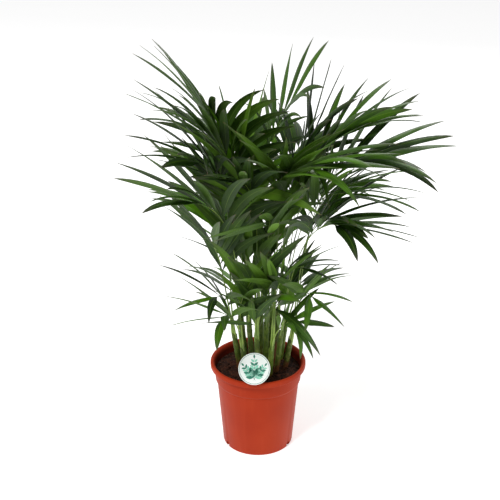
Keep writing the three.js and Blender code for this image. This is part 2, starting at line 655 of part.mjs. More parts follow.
CANES.forEach((cane, index) => {
	const name = `cane_${twoDigits(index + 1)}`;
	pottedPalm.add(meshOf(name, socketedCane(cane, index), caneFoot(cane), matte(CANE_COLOUR, 0.6)));
});

FRONDS.forEach((frond, row) => {
	const name = `frond_${twoDigits(row + 1)}`;
	pottedPalm.add(meshOf(name, frondSolids[row], stalks[row].line.mouth, matte(FROND_COLOUR, 0.5)));
});

export default pottedPalm;
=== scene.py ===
import math

import bmesh
import bpy
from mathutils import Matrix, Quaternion, Vector
from mathutils.kdtree import KDTree


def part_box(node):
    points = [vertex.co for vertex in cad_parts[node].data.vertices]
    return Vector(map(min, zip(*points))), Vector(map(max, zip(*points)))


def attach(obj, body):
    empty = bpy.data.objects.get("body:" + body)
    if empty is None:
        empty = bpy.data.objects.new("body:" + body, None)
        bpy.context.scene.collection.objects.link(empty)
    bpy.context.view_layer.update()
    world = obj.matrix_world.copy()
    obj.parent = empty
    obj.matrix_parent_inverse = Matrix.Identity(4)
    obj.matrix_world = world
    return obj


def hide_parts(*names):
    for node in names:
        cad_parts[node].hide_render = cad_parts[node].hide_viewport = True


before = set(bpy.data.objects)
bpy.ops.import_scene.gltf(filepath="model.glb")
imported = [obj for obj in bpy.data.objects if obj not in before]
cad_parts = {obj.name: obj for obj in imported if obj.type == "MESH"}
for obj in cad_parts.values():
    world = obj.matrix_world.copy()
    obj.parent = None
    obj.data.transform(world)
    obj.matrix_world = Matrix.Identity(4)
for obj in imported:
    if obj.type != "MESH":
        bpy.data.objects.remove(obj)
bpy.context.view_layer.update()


# ------------------------------------------------------------------ studio
# A plain white floor that runs out of sight, a white surround and three soft lights: a big one over the
# front left, a weaker one from the right and a low one behind. The camera looks down by 24 degrees.

AIM = Vector((-0.0143, 0, 0.3734))
CAMERA_DISTANCE = 1.8
CAMERA_DROP = math.radians(24.09)
CAMERA_LENS = 76.45

camera_data = bpy.data.cameras.new("camera")
camera_data.lens = CAMERA_LENS
camera = bpy.data.objects.new("camera", camera_data)
camera.location = AIM + CAMERA_DISTANCE * Vector((0, -math.cos(CAMERA_DROP), math.sin(CAMERA_DROP)))
camera.rotation_euler = (AIM - camera.location).to_track_quat("-Z", "Y").to_euler()
bpy.context.collection.objects.link(camera)
bpy.context.scene.camera = camera
bpy.context.scene.view_settings.view_transform = "Standard"


LIGHTS_AIM = Vector((0, 0, 0.35))


def soft_light(name, place, size, power):
    data = bpy.data.lights.new(name, "AREA")
    data.shape = "DISK"
    data.size = size
    data.energy = power
    lamp = bpy.data.objects.new(name, data)
    lamp.location = place
    lamp.rotation_euler = (LIGHTS_AIM - Vector(place)).to_track_quat("-Z", "Y").to_euler()
    bpy.context.collection.objects.link(lamp)


soft_light("key_light", (-2.4, -3.3, 5.5), 1.7, 270)
soft_light("fill_light", (1.9, -1.2, 1.2), 1.5, 6)
soft_light("back_light", (0.5, 1.9, 1.8), 1.2, 20)

surround = bpy.data.worlds.new("surround")
surround.use_nodes = True
background = surround.node_tree.nodes["Background"]
background.inputs["Color"].default_value = (1, 1, 1, 1)
background.inputs["Strength"].default_value = 0.42
bpy.context.scene.world = surround

FLOOR_SIZE = 30
FLOOR_BELOW_FOOT = 0.0002
bpy.ops.object.select_all(action="DESELECT")
bpy.ops.mesh.primitive_plane_add(size=FLOOR_SIZE, location=(0, 0, -FLOOR_BELOW_FOOT))
floor = bpy.context.object
floor.name = "floor"


class Value:
    """A socket in a finish's node tree that takes part in Python arithmetic."""

    def __init__(self, finish, socket):
        self.finish = finish
        self.socket = socket

    def maths(self, operation, a, b=0.0):
        return self.finish.node("ShaderNodeMath", {"operation": operation}, {0: a, 1: b})

    def __add__(self, other):
        return self.maths("ADD", self, other)

    def __radd__(self, other):
        return self.maths("ADD", other, self)

    def __sub__(self, other):
        return self.maths("SUBTRACT", self, other)

    def __rsub__(self, other):
        return self.maths("SUBTRACT", other, self)

    def __mul__(self, other):
        return self.maths("MULTIPLY", self, other)

    def __rmul__(self, other):
        return self.maths("MULTIPLY", other, self)

    def __abs__(self):
        return self.maths("ABSOLUTE", self)

    def between(self, low, high):
        """0 below low, 1 above high and smooth between them."""
        settings = {"interpolation_type": "SMOOTHSTEP"}
        return self.finish.node("ShaderNodeMapRange", settings, {0: self, 1: low, 2: high})


class Finish:
    """A material of one Principled shader, built node by node."""

    def __init__(self, name):
        self.material = bpy.data.materials.new(name)
        self.material.use_nodes = True
        self.tree = self.material.node_tree
        self.shader = self.tree.nodes["Principled BSDF"]

    def node(self, kind, settings, inputs, output=0):
        node = self.tree.nodes.new(kind)
        for key, value in settings.items():
            setattr(node, key, value)
        for key, value in inputs.items():
            self.feed(node.inputs[key], value)
        return Value(self, node.outputs[output])

    def feed(self, socket, value):
        if isinstance(value, Value):
            self.tree.links.new(value.socket, socket)
        else:
            socket.default_value = value

    def set(self, **sockets):
        for name, value in sockets.items():
            socket = name.replace("_", " ").title().replace("Ior", "IOR")
            self.feed(self.shader.inputs[socket], value)

    def place(self):
        return self.node("ShaderNodeTexCoord", {}, {}, "Object")

    def mapped(self, scale, place=None):
        """Object coordinates stretched along each axis."""
        return self.node("ShaderNodeMapping", {}, {"Vector": place or self.place(), "Scale": scale})

    def noise(self, vector, scale, detail=3.0, rough=0.55):
        inputs = {"Vector": vector, "Scale": scale, "Detail": detail, "Roughness": rough}
        return self.node("ShaderNodeTexNoise", {}, inputs)

    def mix(self, share, first, second):
        settings = {"data_type": "RGBA"}
        return self.node("ShaderNodeMix", settings, {0: share, 6: first, 7: second}, 2)

    def bumps(self, height, strength, distance):
        inputs = {"Height": height, "Strength": strength, "Distance": distance}
        self.set(normal=self.node("ShaderNodeBump", {}, inputs))


white_floor = Finish("white_floor")
white_floor.set(
    base_color=(0.9, 0.9, 0.9, 1),
    roughness=0.9,
    emission_color=(1, 1, 1, 1),
    emission_strength=0.43,
)
floor.data.materials.append(white_floor.material)


# ------------------------------------------------------------------ pot
# One injection moulding of terracotta-coloured polypropylene: a rolled lip over a collar, a body that
# tapers to the foot, and a base that stands on a rim and a middle disc, with notches and drain holes.

pot_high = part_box("pot")[1]
RIM = pot_high.x
TOP = pot_high.z
WALL = 0.0015
FOOT_RADIUS = 0.0625
FOOT_WIDTH = 0.005
FOOT_HEIGHT = 0.0025
HUB = 0.016
LIP_BOTTOM = TOP - 0.010
COLLAR_BOTTOM = LIP_BOTTOM - 0.024
SHOULDER = TOP - 0.037
SHOULDER_STEP = 0.0012
COLLAR_TOP_RADIUS = RIM - 0.007
COLLAR_RADIUS = COLLAR_TOP_RADIUS - 0.0017
SHOULDER_RADIUS = COLLAR_RADIUS - 0.0018
BODY_TOP = SHOULDER - SHOULDER_STEP
BODY_TOP_RADIUS = SHOULDER_RADIUS - SHOULDER_STEP
POT_OUTLINE = [
    (HUB, 0),
    (HUB + 0.0015, FOOT_HEIGHT),
    (FOOT_RADIUS - FOOT_WIDTH, FOOT_HEIGHT),
    (FOOT_RADIUS - FOOT_WIDTH + 0.001, 0),
    (FOOT_RADIUS - 0.0006, 0),
    (FOOT_RADIUS, 0.001),
    (BODY_TOP_RADIUS - 0.0001, BODY_TOP - 0.0012),
    (BODY_TOP_RADIUS + 0.0001, BODY_TOP),
    (SHOULDER_RADIUS, SHOULDER),
    (COLLAR_RADIUS - 0.0002, COLLAR_BOTTOM - 0.0006),
    (COLLAR_RADIUS + 0.0001, COLLAR_BOTTOM + 0.0012),
    (COLLAR_TOP_RADIUS, LIP_BOTTOM - 0.0012),
    (COLLAR_TOP_RADIUS + 0.001, LIP_BOTTOM),
    (RIM - 0.001, LIP_BOTTOM),
    (RIM - 0.0002, LIP_BOTTOM + 0.0009),
    (RIM, LIP_BOTTOM + 0.003),
    (RIM, TOP - 0.003),
    (RIM - 0.0007, TOP - 0.0011),
    (RIM - 0.002, TOP - 0.0003),
    (RIM - 0.0034, TOP),
    (RIM - 0.0048, TOP - 0.0006),
    (RIM - 0.0064, TOP - 0.0022),
    (COLLAR_TOP_RADIUS - WALL + 0.0004, TOP - 0.006),
    (COLLAR_TOP_RADIUS - WALL, LIP_BOTTOM),
    (COLLAR_RADIUS - WALL, COLLAR_BOTTOM),
    (BODY_TOP_RADIUS - WALL, BODY_TOP),
    (FOOT_RADIUS - WALL, FOOT_HEIGHT + WALL),
    (HUB + 0.001, FOOT_HEIGHT + WALL),
]
POT_SIDES = 144


def fresh():
    """Nothing is selected, and the next operator starts in object mode."""
    if bpy.context.mode != "OBJECT":
        bpy.ops.object.mode_set(mode="OBJECT")
    bpy.ops.object.select_all(action="DESELECT")


def turned(name, outline, sides):
    """A closed round piece: a disc drawn up ring by ring through the outline's radii and heights."""
    fresh()
    radius, height = outline[0]
    bpy.ops.mesh.primitive_circle_add(vertices=sides, radius=radius, fill_type="NGON")
    piece = bpy.context.object
    piece.name = name
    bpy.ops.object.mode_set(mode="EDIT")
    bpy.ops.transform.translate(value=(0, 0, height))
    for next_radius, next_height in outline[1:]:
        rise = (0, 0, next_height - height)
        bpy.ops.mesh.extrude_region_move(TRANSFORM_OT_translate={"value": rise})
        share = next_radius / radius
        bpy.ops.transform.resize(value=(share, share, 1), center_override=(0, 0, next_height))
        radius, height = next_radius, next_height
    bpy.ops.mesh.select_all(action="SELECT")
    bpy.ops.mesh.normals_make_consistent(inside=False)
    bpy.ops.object.mode_set(mode="OBJECT")
    return piece


def cut(piece, cutter):
    trim = piece.modifiers.new("cut", "BOOLEAN")
    trim.operation = "DIFFERENCE"
    trim.solver = "EXACT"
    trim.object = cutter
    bpy.context.view_layer.objects.active = piece
    bpy.ops.object.modifier_apply(modifier="cut")
    bpy.data.objects.remove(cutter)


def smooth(piece, degrees):
    fresh()
    piece.select_set(True)
    bpy.context.view_layer.objects.active = piece
    bpy.ops.object.shade_smooth_by_angle(angle=math.radians(degrees))


def wear(piece, *finishes):
    for finish in finishes:
        piece.data.materials.append(finish.material)


def stand_for(piece, node):
    """Gives a finished piece its place in the frame."""
    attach(piece, "root")
    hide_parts(node)


pot = turned("nursery_pot", POT_OUTLINE, POT_SIDES)

NOTCHES = 3
NOTCH_RADIUS = 0.0046
NOTCH_LENGTH = 0.014
for number in range(NOTCHES):
    turn = math.pi / 2 + 2 * math.pi * number / NOTCHES
    out = Vector((math.cos(turn), math.sin(turn), 0))
    fresh()
    notch_place = out * (FOOT_RADIUS - 0.001) + Vector((0, 0, FOOT_HEIGHT + WALL))
    bpy.ops.mesh.primitive_cylinder_add(
        vertices=24,
        radius=NOTCH_RADIUS,
        depth=NOTCH_LENGTH,
        location=notch_place,
        rotation=(0, math.pi / 2, turn),
    )
    cut(pot, bpy.context.object)

HOLES = 8
HOLE_RADIUS = 0.004
HOLE_CIRCLE = 0.038
HOLE_LENGTH = 0.02
for number in range(HOLES):
    turn = 2 * math.pi * (number + 0.5) / HOLES
    out = Vector((math.cos(turn), math.sin(turn), 0))
    fresh()
    hole_place = out * HOLE_CIRCLE
    bpy.ops.mesh.primitive_cylinder_add(
        vertices=24,
        radius=HOLE_RADIUS,
        depth=HOLE_LENGTH,
        location=hole_place,
    )
    cut(pot, bpy.context.object)
smooth(pot, 32)

# The inside of the wall gets painted shade from a millimetre under the lip's crest, fully after eight
# more.
UNSHADED_DEPTH = 0.001
SHADE_DEEPENS_OVER = 0.008
inner_wall_shade = pot.data.attributes.new("inner_wall_shade", "FLOAT", "POINT")
for vertex in pot.data.vertices:
    if vertex.normal.xy.dot(vertex.co.xy) < 0:
        share = (TOP - UNSHADED_DEPTH - vertex.co.z) / SHADE_DEEPENS_OVER
        inner_wall_shade.data[vertex.index].value = min(1.0, max(0.0, share))

terracotta = Finish("terracotta_plastic")
broad = terracotta.noise(terracotta.place(), 9.0, 2.0)
streaks = terracotta.noise(terracotta.mapped((1, 1, 0.05)), 120.0, 2.0)
height = terracotta.node("ShaderNodeSeparateXYZ", {}, {0: terracotta.place()}, 2)
dust = terracotta.noise(terracotta.place(), 260.0, 4.0, 0.7).between(0.58, 0.82)
plain = terracotta.mix(broad.between(0.3, 0.75), (0.35, 0.028, 0.006, 1), (0.42, 0.040, 0.009, 1))
streaked = terracotta.mix(streaks.between(0.45, 0.8) * 0.18, plain, (0.5, 0.06, 0.018, 1))
dusty = terracotta.mix(dust * height.between(0.06, 0.0) * 0.35, streaked, (0.36, 0.08, 0.045, 1))
# Above the body's step the inside of the wall turns a near-black brown: painted shade from the foliage
# over it.
inside = terracotta.node("ShaderNodeAttribute", {"attribute_name": "inner_wall_shade"}, {}, 2)
above_step = height.between(BODY_TOP, COLLAR_BOTTOM)
terracotta.set(
    base_color=terracotta.mix(inside * above_step * (0.6 + broad * 0.4), dusty, (0.05, 0.009, 0.005, 1)),
    roughness=0.4 + broad * 0.14 + dust * 0.1,
    ior=1.25,
    specular_ior_level=0.3,
)
grain = terracotta.noise(terracotta.place(), 900.0, 2.0)
terracotta.bumps(grain * 0.5 + streaks * 0.5, 0.08, 0.0006)
wear(pot, terracotta)
stand_for(pot, "pot")


# ------------------------------------------------------------------ soil
# Potting mix of dark peat with bark chips, fibres and a few pale specks. It fills the pot to about two
# centimetres under the rim, lumpy on top, with a low mound round the canes.

SOIL_TOP = TOP - 0.017
SOIL_FIT = 0.00035
MOUND = 0.006
soil_floor = FOOT_HEIGHT + WALL + SOIL_FIT
LIP_WIDTH = 0.0078
WALL_STATIONS = [
    (BODY_TOP, BODY_TOP_RADIUS - WALL),
    (COLLAR_BOTTOM, COLLAR_RADIUS - WALL),
    (TOP, RIM - LIP_WIDTH),
]


def inside_wall(z):
    """The radius inside the pot's wall at height z, less the fit."""
    lower = (FOOT_HEIGHT + WALL, FOOT_RADIUS - WALL)
    for upper in WALL_STATIONS:
        if z <= upper[0]:
            share = (z - lower[0]) / (upper[0] - lower[0])
            return lower[1] + (upper[1] - lower[1]) * share - SOIL_FIT
        lower = upper
    return lower[1] - SOIL_FIT


SOIL_RINGS = 60
SOIL_SIDES = 120
SOIL_EDGE_DROP = 0.001
SOIL_EDGE_INSET = 0.001
edge_radius = inside_wall(SOIL_TOP) - SOIL_EDGE_INSET


def mound_at(radius):
    """How far the mound stands over the soil's edge."""
    return MOUND * (1 - (radius / edge_radius) ** 2)


soil_outline = [(inside_wall(z), z) for z in (soil_floor, BODY_TOP, COLLAR_BOTTOM, SOIL_TOP - 0.004)]
for ring in range(SOIL_RINGS):
    radius = edge_radius * (1 - ring / SOIL_RINGS)
    soil_outline.append((radius, SOIL_TOP - SOIL_EDGE_DROP + mound_at(radius)))
soil = turned("potting_soil", soil_outline, SOIL_SIDES)

# The top is stirred up in coarse lumps and fine ones, less so along the wall.
STIR_DEPTH = 0.003
CALM_EDGE = 0.006
CALM_FROM_WALL = 0.0005
LEAST_STIR = 0.15
top_group = soil.vertex_groups.new(name="top")
for vertex in soil.data.vertices:
    if vertex.co.z > SOIL_TOP - STIR_DEPTH:
        stirred = (edge_radius + CALM_FROM_WALL - vertex.co.xy.length) / CALM_EDGE + LEAST_STIR
        top_group.add([vertex.index], min(1.0, stirred), "REPLACE")

for texture_size, depth in ((0.016, 0.0075), (0.006, 0.0045)):
    lumps = bpy.data.textures.new("lumps", "CLOUDS")
    lumps.noise_scale = texture_size
    lumps.noise_depth = 3
    stir = soil.modifiers.new("stir", "DISPLACE")
    stir.texture = lumps
    stir.texture_coords = "LOCAL"
    stir.direction = "Z"
    stir.strength = depth
    stir.mid_level = 0.5
    stir.vertex_group = "top"
    bpy.context.view_layer.objects.active = soil
    bpy.ops.object.modifier_apply(modifier="stir")


def crumb(turn, out, size, flat, lean):
    """One chip of bark or lump of peat that lies on the soil."""
    fresh()
    spot = Vector((math.cos(turn) * out, math.sin(turn) * out, SOIL_TOP + mound_at(out)))
    bpy.ops.mesh.primitive_ico_sphere_add(subdivisions=1, radius=size, location=spot)
    chip = bpy.context.object
    chip.scale = (1, 0.45 + 0.5 * flat, 0.3 + 0.4 * flat)
    chip.rotation_euler = (lean, lean * 0.7, turn * 5)
    bpy.ops.object.transform_apply(location=True, rotation=True, scale=True)
    return chip


CRUMBS = 240
CRUMB_SMALL = 0.0014
CRUMB_GROWTH = 0.0032
CRUMBS_FROM_WALL = 0.004
GOLDEN_ANGLE = 2.39996
SIZE_STEP = 0.754878
FLATNESS_STEP = 0.37
MOST_LEAN = 0.5
chips = []
for number in range(CRUMBS):
    out = (edge_radius - CRUMBS_FROM_WALL) * math.sqrt((number + 0.5) / CRUMBS)
    wander = (number * SIZE_STEP) % 1
    flat = (number * FLATNESS_STEP) % 1
    size = CRUMB_SMALL + CRUMB_GROWTH * wander ** 2
    chips.append(crumb(number * GOLDEN_ANGLE, out, size, flat, MOST_LEAN * wander))
fresh()
for chip in chips:
    chip.select_set(True)
soil.select_set(True)
bpy.context.view_layer.objects.active = soil
bpy.ops.object.join()
smooth(soil, 40)

peat = Finish("peat")
clods = peat.noise(peat.place(), 140.0, 5.0, 0.65)
fibres = peat.noise(peat.mapped((1, 0.12, 1)), 700.0, 3.0, 0.6)
specks = peat.noise(peat.place(), 420.0, 2.0).between(0.66, 0.74)
dark = peat.mix(clods.between(0.35, 0.7), (0.007, 0.0028, 0.0016, 1), (0.058, 0.018, 0.009, 1))
fibrous = peat.mix(fibres.between(0.55, 0.8) * 0.6, dark, (0.19, 0.07, 0.035, 1))
peat.set(
    base_color=peat.mix(specks * 0.6, fibrous, (0.27, 0.14, 0.08, 1)),
    roughness=0.75 + clods * 0.2,
    specular_ior_level=0.15,
)
peat.bumps(clods * 0.7 + fibres * 0.3, 0.8, 0.002)
wear(soil, peat)
stand_for(soil, "soil")


# ------------------------------------------------------------------ label
# A round plant label of white printed plastic, moulded with the stake that holds it in the soil. It
# leans back over the rim. The print is a ring and three plain leafy twigs of two greens.

LABEL_RADIUS = 0.0272
LABEL_THICKNESS = 0.0008
LABEL_TILT = math.radians(30)
LABEL_SIDE = -0.007
LABEL_ABOVE_RIM = 0.002
LABEL_BEFORE_RIM = 0.0066
STAKE_WIDTH = 0.007
STAKE_UP_CARD = 0.55
STAKE_INSIDE_WALL = 0.012
STAKE_DEPTH_IN_SOIL = 0.045
STAKE_POINT_SHARE = 0.3
label_up = Vector((0, math.sin(LABEL_TILT), math.cos(LABEL_TILT)))
label_foot = Vector((LABEL_SIDE, -RIM - LABEL_BEFORE_RIM, TOP + LABEL_ABOVE_RIM))
label_centre = label_foot + label_up * LABEL_RADIUS
stake_top = label_centre + label_up * LABEL_RADIUS * STAKE_UP_CARD
stake_back = STAKE_INSIDE_WALL - inside_wall(SOIL_TOP) - SOIL_FIT
stake_low = Vector((LABEL_SIDE, stake_back, SOIL_TOP - STAKE_DEPTH_IN_SOIL))

card = Finish("label_white")
card_tone = card.noise(card.place(), 60.0, 2.0)
card.set(
    base_color=card.mix(card_tone, (0.78, 0.84, 0.8, 1), (0.86, 0.89, 0.86, 1)),
    roughness=0.3 + card_tone * 0.15,
)
card.bumps(card.noise(card.place(), 700.0, 2.0), 0.05, 0.0004)


def printing_ink(name, first, second):
    finish = Finish(name)
    patches = finish.noise(finish.place(), 220.0, 2.0)
    tone = finish.mix(patches.between(0.3, 0.7), first, second)
    finish.set(base_color=tone, roughness=0.34 + patches * 0.1)
    return finish


light_ink = printing_ink("label_print_light", (0.2, 0.56, 0.42, 1), (0.32, 0.66, 0.5, 1))
dark_ink = printing_ink("label_print_dark", (0.015, 0.15, 0.1, 1), (0.03, 0.24, 0.15, 1))
fresh()
bpy.ops.mesh.primitive_cylinder_add(vertices=96, radius=LABEL_RADIUS, depth=LABEL_THICKNESS)
label = bpy.context.object
label.name = "plant_label"
wear(label, card, light_ink, dark_ink)
soften = label.modifiers.new("soften", "BEVEL")
soften.width = 0.0002
soften.segments = 2
bpy.ops.object.modifier_apply(modifier="soften")


INK_LIFT = 0.00002
INK_THICKNESS = 0.00003
LIGHT_SLOT = 1
DARK_SLOT = 2


def printed(kind, x, y, turn, length, width, slot):
    """A flat printed shape on the label's face, a few hundredths of a millimetre proud of it."""
    fresh()
    bpy.ops.mesh.primitive_circle_add(vertices=14, radius=1, fill_type="NGON")
    ink = bpy.context.object
    for vertex in ink.data.vertices:
        along = vertex.co.x
        if kind == "leaf":
            vertex.co.y *= 1 - 0.65 * abs(along) ** 1.6
        vertex.co.x = (along + 1) * length / 2
        vertex.co.y *= width / 2
    ink.location = (x, y, LABEL_THICKNESS / 2 + INK_LIFT)
    ink.rotation_euler = (0, 0, turn)
    bpy.ops.object.transform_apply(location=True, rotation=True, scale=True)
    bpy.ops.object.mode_set(mode="EDIT")
    bpy.ops.mesh.select_all(action="SELECT")
    bpy.ops.mesh.extrude_region_move(TRANSFORM_OT_translate={"value": (0, 0, INK_THICKNESS)})
    bpy.ops.object.mode_set(mode="OBJECT")
    wear(ink, card, light_ink, dark_ink)
    for face in ink.data.polygons:
        face.material_index = slot
    return ink


# Three twigs that fan out from one foot, each with five pairs of leaves and one at its tip.
TWIGS = [(0, 0, 0.039), (0.68, 0.0024, 0.033), (-0.68, -0.0024, 0.033)]
TWIG_FOOT = -0.02
TWIG_RUNGS = 5
LEAF_SWING = 0.8
prints = []
for twig, (lean, aside, tall) in enumerate(TWIGS):
    root = Vector((aside, TWIG_FOOT))
    up = Vector((-math.sin(lean), math.cos(lean)))
    turn = math.pi / 2 + lean
    prints.append(printed("stem", root.x, root.y, turn, tall, 0.0008, DARK_SLOT))
    for rung in range(TWIG_RUNGS):
        spot = root + up * tall * (0.2 + 0.15 * rung)
        size = 0.0128 - 0.0013 * rung
        slot = LIGHT_SLOT + (rung + twig) % 2
        for swing in (-LEAF_SWING, LEAF_SWING):
            prints.append(printed("leaf", spot.x, spot.y, turn + swing, size, size / 2, slot))
    tip = root + up * tall * 0.96
    prints.append(printed("leaf", tip.x, tip.y, turn, 0.007, 0.0034, DARK_SLOT))

RING_INSIDE_EDGE = 0.0018
RING_HALF_WIDTH = 0.00035
RING_FLATNESS = 0.15
fresh()
bpy.ops.mesh.primitive_torus_add(
    major_radius=LABEL_RADIUS - RING_INSIDE_EDGE,
    minor_radius=RING_HALF_WIDTH,
    major_segments=96,
    minor_segments=6,
    location=(0, 0, LABEL_THICKNESS / 2),
)
ring = bpy.context.object
for vertex in ring.data.vertices:
    vertex.co.z *= RING_FLATNESS
bpy.ops.object.transform_apply(location=True, rotation=True, scale=True)
wear(ring, card, light_ink, dark_ink)
for face in ring.data.polygons:
    face.material_index = DARK_SLOT
prints.append(ring)

for shape in prints + [label]:
    shape.select_set(True)
bpy.context.view_layer.objects.active = label
bpy.ops.object.join()
label.rotation_euler = (math.pi / 2 - LABEL_TILT, 0, 0)
label.location = label_centre
bpy.ops.object.transform_apply(location=True, rotation=True, scale=True)

fresh()
stake_run = stake_top - stake_low
bpy.ops.mesh.primitive_cube_add(size=1, location=(0, 0, 0))
stake = bpy.context.object
wear(stake, card)
stake.scale = (STAKE_WIDTH, LABEL_THICKNESS, stake_run.length)
bpy.ops.object.transform_apply(location=True, rotation=True, scale=True)
bpy.ops.object.mode_set(mode="EDIT")
bpy.ops.mesh.select_all(action="SELECT")
bpy.ops.mesh.subdivide(number_cuts=3)
bpy.ops.object.mode_set(mode="OBJECT")
for vertex in stake.data.vertices:
    up_share = vertex.co.z / stake_run.length + 0.5
    if up_share < STAKE_POINT_SHARE:
        vertex.co.x *= 0.1 + 0.9 * up_share / STAKE_POINT_SHARE
stake.rotation_euler = stake_run.to_track_quat("Z", "X").to_euler()
stake.location = (stake_top + stake_low) / 2
bpy.ops.object.transform_apply(location=True, rotation=True, scale=True)
label.select_set(True)
bpy.context.view_layer.objects.active = label
bpy.ops.object.join()
smooth(label, 30)

stand_for(label, "label")


# ------------------------------------------------------------------ canes
# Slender green stems, each a roll of leaf bases wrapped round one another. The lowest sheaths have dried
# brown, and at the mouth the youngest ones stand open round the stalks that come out of them.

CANE_BASE_RADIUS = 0.0048
CANE_TOP_RADIUS = 0.0053
CANE_HEIGHT = 0.092
CANE_DEPTH_IN_SOIL = 0.032
CLUMP_OFF_CENTRE = 0.005
CLUMP_WIDTH = 0.076
CLUMP_DEPTH = 0.066
LEAN_ACROSS = 0.16
LEAN_DEEP = 0.16
# Each cane's place across and deep in the clump, -1 to 1, and its height as a share of CANE_HEIGHT.
CANES = [
    (-0.86, -0.1, 0.84),
    (-0.62, 0.58, 1.08),
    (-0.6, -0.66, 0.72),
    (-0.36, -0.12, 1.2),
    (-0.12, 0.92, 1),
    (-0.14, -0.72, 0.95),
    (0, 0.34, 1.3),
    (0.16, -0.24, 1.12),
    (0.34, 0.78, 0.9),
    (0.34, -0.86, 0.78),
    (0.5, 0.2, 1.25),
    (0.62, -0.46, 1),
    (0.8, 0.56, 0.86),
    (1, -0.04, 0.7),
]


def cane_line(cane):
    """A cane's foot, direction and length."""
    across, deep, high = cane
    foot = Vector((across * CLUMP_WIDTH / 2, deep * CLUMP_DEPTH / 2, SOIL_TOP - CANE_DEPTH_IN_SOIL))
    foot.x += CLUMP_OFF_CENTRE
    direction = Vector((across * LEAN_ACROSS, deep * LEAN_DEEP, 1)).normalized()
    return foot, direction, CANE_DEPTH_IN_SOIL + CANE_HEIGHT * high


ROW_STEP = 0.618034
COLUMN_STEP = 0.754878


def vary(row, column):
    """A steady spread of values from -1 to 1, the same as the design's."""
    return 2 * ((row * ROW_STEP + column * COLUMN_STEP) % 1) - 1


def copy_of(blank):
    piece = blank.copy()
    piece.data = blank.data.copy()
    bpy.context.collection.objects.link(piece)
    return piece


# The plain round stem that every cane is a copy of, with its top inset twice.
CANE_SIDES = 16
CANE_RINGS = 40
fresh()
bpy.ops.mesh.primitive_cylinder_add(vertices=CANE_SIDES, radius=1, depth=1, location=(0, 0, 0))
cane_blank = bpy.context.object
bpy.ops.object.mode_set(mode="EDIT")
bpy.ops.mesh.select_all(action="DESELECT")
shape = bmesh.from_edit_mesh(cane_blank.data)
for edge in shape.edges:
    edge.select_set(abs(edge.verts[0].co.z - edge.verts[1].co.z) > 0.5)
bpy.ops.mesh.subdivide(number_cuts=CANE_RINGS)
bpy.ops.mesh.select_all(action="DESELECT")
shape = bmesh.from_edit_mesh(cane_blank.data)
for face in shape.faces:
    face.select_set(face.calc_center_median().z > 0.49)
bpy.ops.mesh.inset(thickness=0.22)
bpy.ops.mesh.inset(thickness=0.1)
bpy.ops.object.mode_set(mode="OBJECT")


SHEATHS = 3
FIRST_SHEATH_END = 0.42
SHEATH_SPACING = 0.2
SHEATH_END_VARIES = 0.06
SWELL_BEFORE_END = 0.02
SWELL_RUN = 0.05
SHEATH_SWELL = 0.00035
SHEATH_STEP = 0.0002
MOUTH_SHARE = 0.1
MOUTH_SLANT = 0.004
MOUTH_HOLLOW = 0.004


def sheath_radius(s, seed):
    """The cane's radius at s, 0 at its foot. It swells towards each sheath's end and steps in there."""
    radius = CANE_BASE_RADIUS + (CANE_TOP_RADIUS - CANE_BASE_RADIUS) * s
    for step in range(SHEATHS):
        end = FIRST_SHEATH_END + SHEATH_SPACING * step + SHEATH_END_VARIES * vary(seed, step)
        if s < end:
            radius += SHEATH_SWELL * max(0.0, 1 - abs(s - end + SWELL_BEFORE_END) / SWELL_RUN)
        else:
            radius -= SHEATH_STEP
    return radius


stems = []
for number, cane in enumerate(CANES):
    foot, direction, length = cane_line(cane)
    stem = copy_of(cane_blank)
    stem.name = f"palm_cane_{number + 1:02d}"
    upright = Vector((0, 0, 1)).rotation_difference(direction)
    height_share = stem.data.attributes.new("height_share", "FLOAT", "POINT")
    sheath_age = stem.data.attributes.new("sheath_age", "FLOAT", "POINT")
    for vertex in stem.data.vertices:
        s = vertex.co.z + 0.5
        turn = math.atan2(vertex.co.y, vertex.co.x)
        height_share.data[vertex.index].value = s
        sheath_age.data[vertex.index].value = 0.5 + 0.5 * vary(number, 1)
        radius = vertex.co.xy.length * sheath_radius(s, number)
        radius *= 1 + 0.05 * math.sin(2 * turn + number) + 0.03 * math.sin(3 * turn - 9 * s)
        rise = s * length
        if s > 1 - MOUTH_SHARE:
            slant = MOUTH_SLANT * (1 + math.cos(turn - number * 2.4))
            rise -= slant * (s - 1 + MOUTH_SHARE) / MOUTH_SHARE
        if s > 0.99 and vertex.co.xy.length < 0.9:
            rise -= MOUTH_HOLLOW * (1 - vertex.co.xy.length)
        vertex.co = foot + upright @ Vector((radius * math.cos(turn), radius * math.sin(turn), rise))
    smooth(stem, 50)
    stems.append(stem)
bpy.data.objects.remove(cane_blank)

sheath = Finish("cane_sheath")
share = sheath.node("ShaderNodeAttribute", {"attribute_name": "height_share"}, {}, 2)
lines = sheath.noise(sheath.mapped((1, 1, 0.03)), 1500.0, 2.0)
blotches = sheath.noise(sheath.place(), 90.0, 3.0)
age = sheath.node("ShaderNodeAttribute", {"attribute_name": "sheath_age"}, {}, 2)
lighter_green = sheath.mix(lines.between(0.35, 0.7), (0.038, 0.08, 0.006, 1), (0.17, 0.26, 0.022, 1))
green = sheath.mix(age * 0.55, lighter_green, (0.03, 0.045, 0.006, 1))
pale = sheath.mix(blotches.between(0.55, 0.72) * 0.45, green, (0.34, 0.36, 0.1, 1))
foot_share = share + blotches * 0.35 - age * 0.3
brown = sheath.mix(foot_share.between(0.52, 0.36), pale, (0.15, 0.06, 0.02, 1))
sheath.set(base_color=brown, roughness=0.45 + lines * 0.2, specular_ior_level=0.3)
sheath.bumps(lines, 0.35, 0.0006)
for number, stem in enumerate(stems):
    wear(stem, sheath)
    stand_for(stem, f"cane_{number + 1:02d}")


# ------------------------------------------------------------------ fronds
# Each frond is one leaf: a smooth channelled stalk that comes up out of a cane and arches over, with
# long thin leaflets in pairs. A leaflet is folded along its midrib, glossy above, paler beneath.

